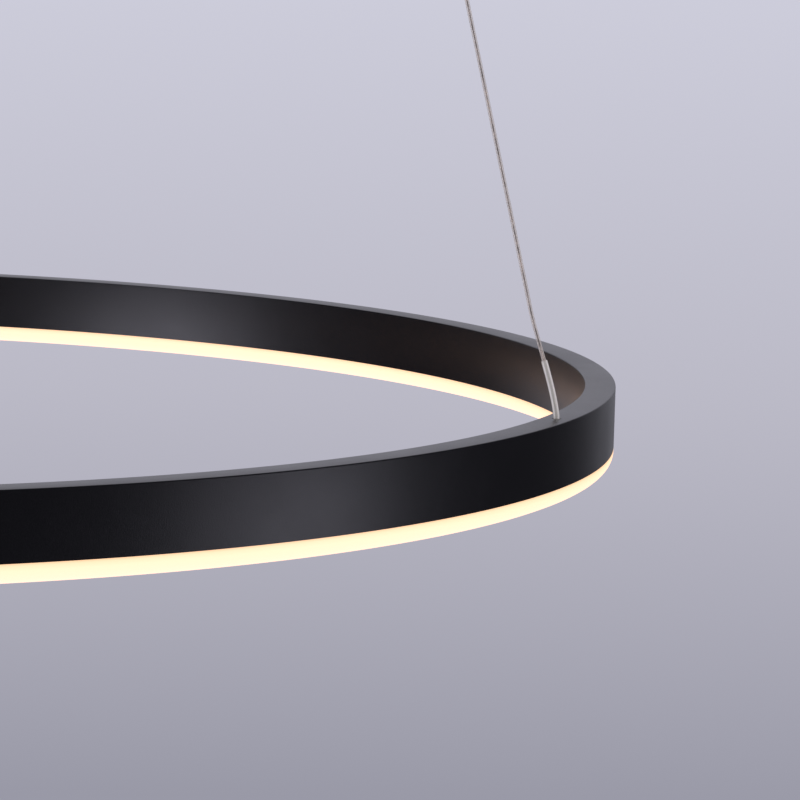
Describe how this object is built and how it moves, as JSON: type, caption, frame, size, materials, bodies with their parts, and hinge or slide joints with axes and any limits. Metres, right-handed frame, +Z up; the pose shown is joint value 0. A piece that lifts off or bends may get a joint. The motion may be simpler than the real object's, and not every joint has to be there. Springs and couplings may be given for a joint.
{
  "type": "ring pendant light",
  "caption": "Slim black ring pendant light with a domed opal underside, hung level on thin clear-jacketed wires from grippers in a round canopy that holds its driver.",
  "frame": {"origin": "on the ceiling, at the middle of the bracket's upper face", "axes": "+Z up into the ceiling, +X from the middle towards the first wire, the lamp hangs in -Z"},
  "size_m": [0.61, 0.61, 0.742],
  "materials": {
    "ring_black": "fine satin black coat on an aluminium extrusion",
    "canopy_black": "fine satin black coat",
    "opal": "opal silicone, lit warm white from inside",
    "clear_jacket": "clear smooth jacket",
    "clear_sleeve": "clear soft tube",
    "steel_strand": "twisted bare strands",
    "zinc_steel": "bright zinc plate",
    "yellow_zinc": "yellow passivated",
    "nickel_brass": "nickel plate",
    "ball_steel": "polished",
    "spring_steel": "bright wire",
    "bush_nylon": "black nylon",
    "tinned_copper": "tinned",
    "board_white": "white solder mask",
    "led_phosphor": "yellow phosphor",
    "driver_white": "fine moulded grain",
    "circuit_green": "green solder mask",
    "terminal_grey": "moulded",
    "lead_red": "smooth insulation",
    "lead_black": "smooth insulation",
    "cap_clear": "milky nylon"
  },
  "bodies": {
    "canopy": {"canopy_cup": "canopy_black", "ceiling_bracket": "zinc_steel", "driver_case": "driver_white", "driver_circuit": "circuit_green", "driver_lid": "driver_white", "driver_nuts": "zinc_steel", "driver_studs": "zinc_steel", "earth_screw": "yellow_zinc", "gripper_body_1": "canopy_black", "gripper_body_2": "canopy_black", "gripper_body_3": "canopy_black", "gripper_nuts": "zinc_steel", "gripper_spring_1": "spring_steel", "gripper_spring_2": "spring_steel", "gripper_spring_3": "spring_steel", "gripper_stem_1": "nickel_brass", "gripper_stem_2": "nickel_brass", "gripper_stem_3": "nickel_brass", "input_terminal": "terminal_grey", "output_lead_negative": "lead_black", "output_lead_positive": "lead_red", "output_terminal": "terminal_grey", "side_screws": "canopy_black", "tail_cap_1": "cap_clear", "tail_cap_2": "cap_clear", "tail_cap_3": "cap_clear", "wire_core_1": "steel_strand", "wire_core_2": "steel_strand", "wire_core_3": "steel_strand", "wire_jacket_1": "clear_jacket", "wire_jacket_2": "clear_jacket", "wire_jacket_3": "clear_jacket", "wire_sleeve_1": "clear_sleeve", "wire_sleeve_2": "clear_sleeve", "wire_sleeve_3": "clear_sleeve"},
    "ring": {"ring_housing": "ring_black", "diffuser": "opal", "led_boards": "board_white", "led_packages": "led_phosphor", "board_links": "tinned_copper", "anchor_bush_1": "bush_nylon", "anchor_bush_2": "bush_nylon", "anchor_bush_3": "bush_nylon", "wire_ferrule_1": "tinned_copper", "wire_ferrule_2": "tinned_copper", "wire_ferrule_3": "tinned_copper", "feed_lead_positive": "lead_red", "feed_lead_negative": "lead_black"},
    "plunger_1": {"gripper_plunger_1": "nickel_brass", "gripper_balls_1": "ball_steel"},
    "plunger_2": {"gripper_plunger_2": "nickel_brass", "gripper_balls_2": "ball_steel"},
    "plunger_3": {"gripper_plunger_3": "nickel_brass", "gripper_balls_3": "ball_steel"}
  },
  "joints": [
    {"name": "height_adjust", "type": "slide", "parent": "canopy", "child": "ring", "axis": [0, 0, 1], "range_m": [0, 0.3], "deforming": ["wire_core_1", "wire_core_2", "wire_core_3", "wire_jacket_1", "wire_jacket_2", "wire_jacket_3", "wire_sleeve_1", "wire_sleeve_2", "wire_sleeve_3"]},
    {"name": "gripper_release_1", "type": "slide", "parent": "canopy", "child": "plunger_1", "axis": [0, 0, 1], "range_m": [0, 0.002], "stiffness_N_per_m": 1500, "springref_m": -0.001, "deforming": ["gripper_spring_1"]},
    {"name": "gripper_release_2", "type": "slide", "parent": "canopy", "child": "plunger_2", "axis": [0, 0, 1], "range_m": [0, 0.002], "stiffness_N_per_m": 1500, "springref_m": -0.001, "deforming": ["gripper_spring_2"]},
    {"name": "gripper_release_3", "type": "slide", "parent": "canopy", "child": "plunger_3", "axis": [0, 0, 1], "range_m": [0, 0.002], "stiffness_N_per_m": 1500, "springref_m": -0.001, "deforming": ["gripper_spring_3"]}
  ]
}
